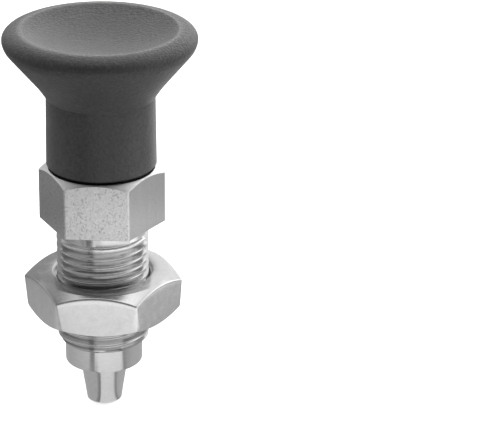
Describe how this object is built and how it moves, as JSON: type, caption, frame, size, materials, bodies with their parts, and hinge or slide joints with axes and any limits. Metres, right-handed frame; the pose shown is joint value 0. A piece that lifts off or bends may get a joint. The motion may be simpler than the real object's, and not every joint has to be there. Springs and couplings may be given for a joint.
{
  "type": "indexing plunger",
  "caption": "Sprung indexing plunger: threaded hexagonal guide body with lock nut, mushroom pull knob and tapered locking pin.",
  "frame": {"origin": "on the plunger's axis, at the underside of the hexagon, which seats on the machine", "axes": "+Z along the axis towards the knob, the pin points to -Z; +X towards a corner of the hexagon"},
  "size_m": [0.0331, 0.033, 0.0693],
  "materials": {
    "turned_steel": "fine turned, bright",
    "bush_steel": "fine turned",
    "ground_steel": "ground",
    "spring_steel": "drawn wire",
    "nut_steel": "cold formed and plated, smooth",
    "knob_plastic": "fine matt texture"
  },
  "bodies": {
    "guide": {"guide_body": "turned_steel", "guide_bush": "bush_steel", "compression_spring": "spring_steel"},
    "plunger": {"indexing_pin": "ground_steel", "knob": "knob_plastic"},
    "nut": {"lock_nut": "nut_steel"}
  },
  "joints": [
    {"name": "pin_pull", "type": "slide", "parent": "guide", "child": "plunger", "axis": [0, 0, 1], "range_m": [0, 0.008], "stiffness_N_per_m": 2880, "springref_m": -0.0052, "deforming": ["compression_spring"]},
    {"name": "nut_travel", "type": "slide", "parent": "guide", "child": "nut", "axis": [0, 0, 1], "range_m": [-0.005, 0.0093]}
  ]
}
